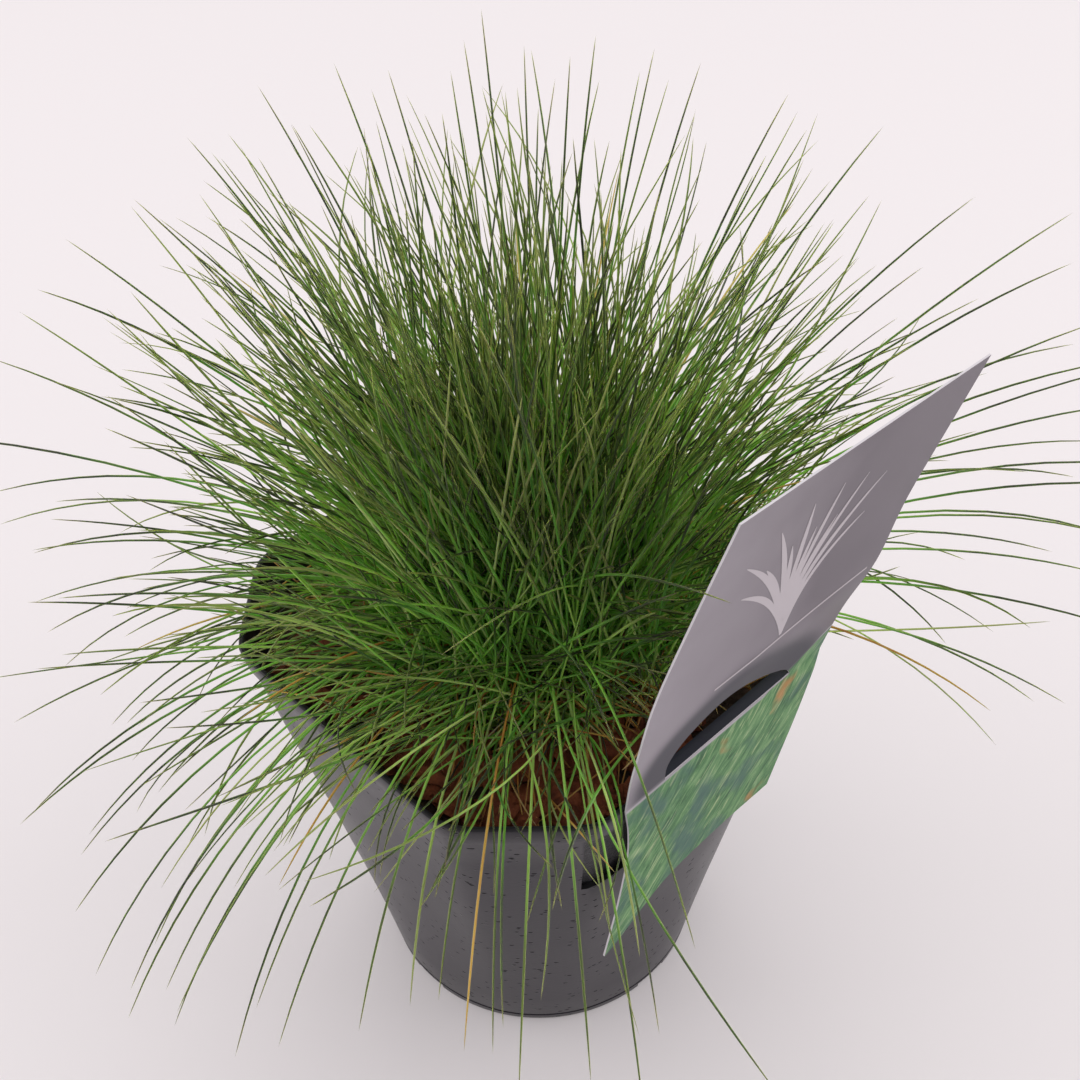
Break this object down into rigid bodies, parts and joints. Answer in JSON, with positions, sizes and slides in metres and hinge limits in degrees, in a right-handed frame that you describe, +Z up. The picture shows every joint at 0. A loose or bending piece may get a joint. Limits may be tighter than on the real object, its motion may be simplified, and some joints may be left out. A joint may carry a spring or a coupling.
{
  "type": "potted tuft grass",
  "caption": "Round-based plastic nursery pot with an eight-sided rim, filled with soil and bark, holding a dense tuft of thread-like grass and a hooked plant label.",
  "frame": {"origin": "centre of the pot's underside pad, on the surface that the pot stands on", "axes": "+Z up along the pot's axis; -Y is the pictured front, where one cut corner of the rim faces; the label hangs on the rim's side between +X and -Y"},
  "size_m": [0.2958, 0.2602, 0.2618],
  "materials": {
    "dark_grey_pot_plastic": "moulded, satin, with fine moisture beads",
    "dark_potting_soil": "crumbly, moist",
    "red_brown_bark": "rough",
    "grey_label_card": "printed, semi-gloss",
    "fescue_green": "living leaf, satin"
  },
  "bodies": {
    "root": {"pot": "dark_grey_pot_plastic", "potting_soil": "dark_potting_soil", "bark_chip_01": "red_brown_bark", "bark_chip_02": "red_brown_bark", "bark_chip_03": "red_brown_bark", "bark_chip_04": "red_brown_bark", "bark_chip_05": "red_brown_bark", "bark_chip_06": "red_brown_bark", "bark_chip_07": "red_brown_bark", "bark_chip_08": "red_brown_bark", "bark_chip_09": "red_brown_bark", "bark_chip_10": "red_brown_bark", "bark_chip_11": "red_brown_bark", "bark_chip_12": "red_brown_bark", "plant_label": "grey_label_card", "leaf_tuft": "fescue_green"}
  },
  "joints": []
}
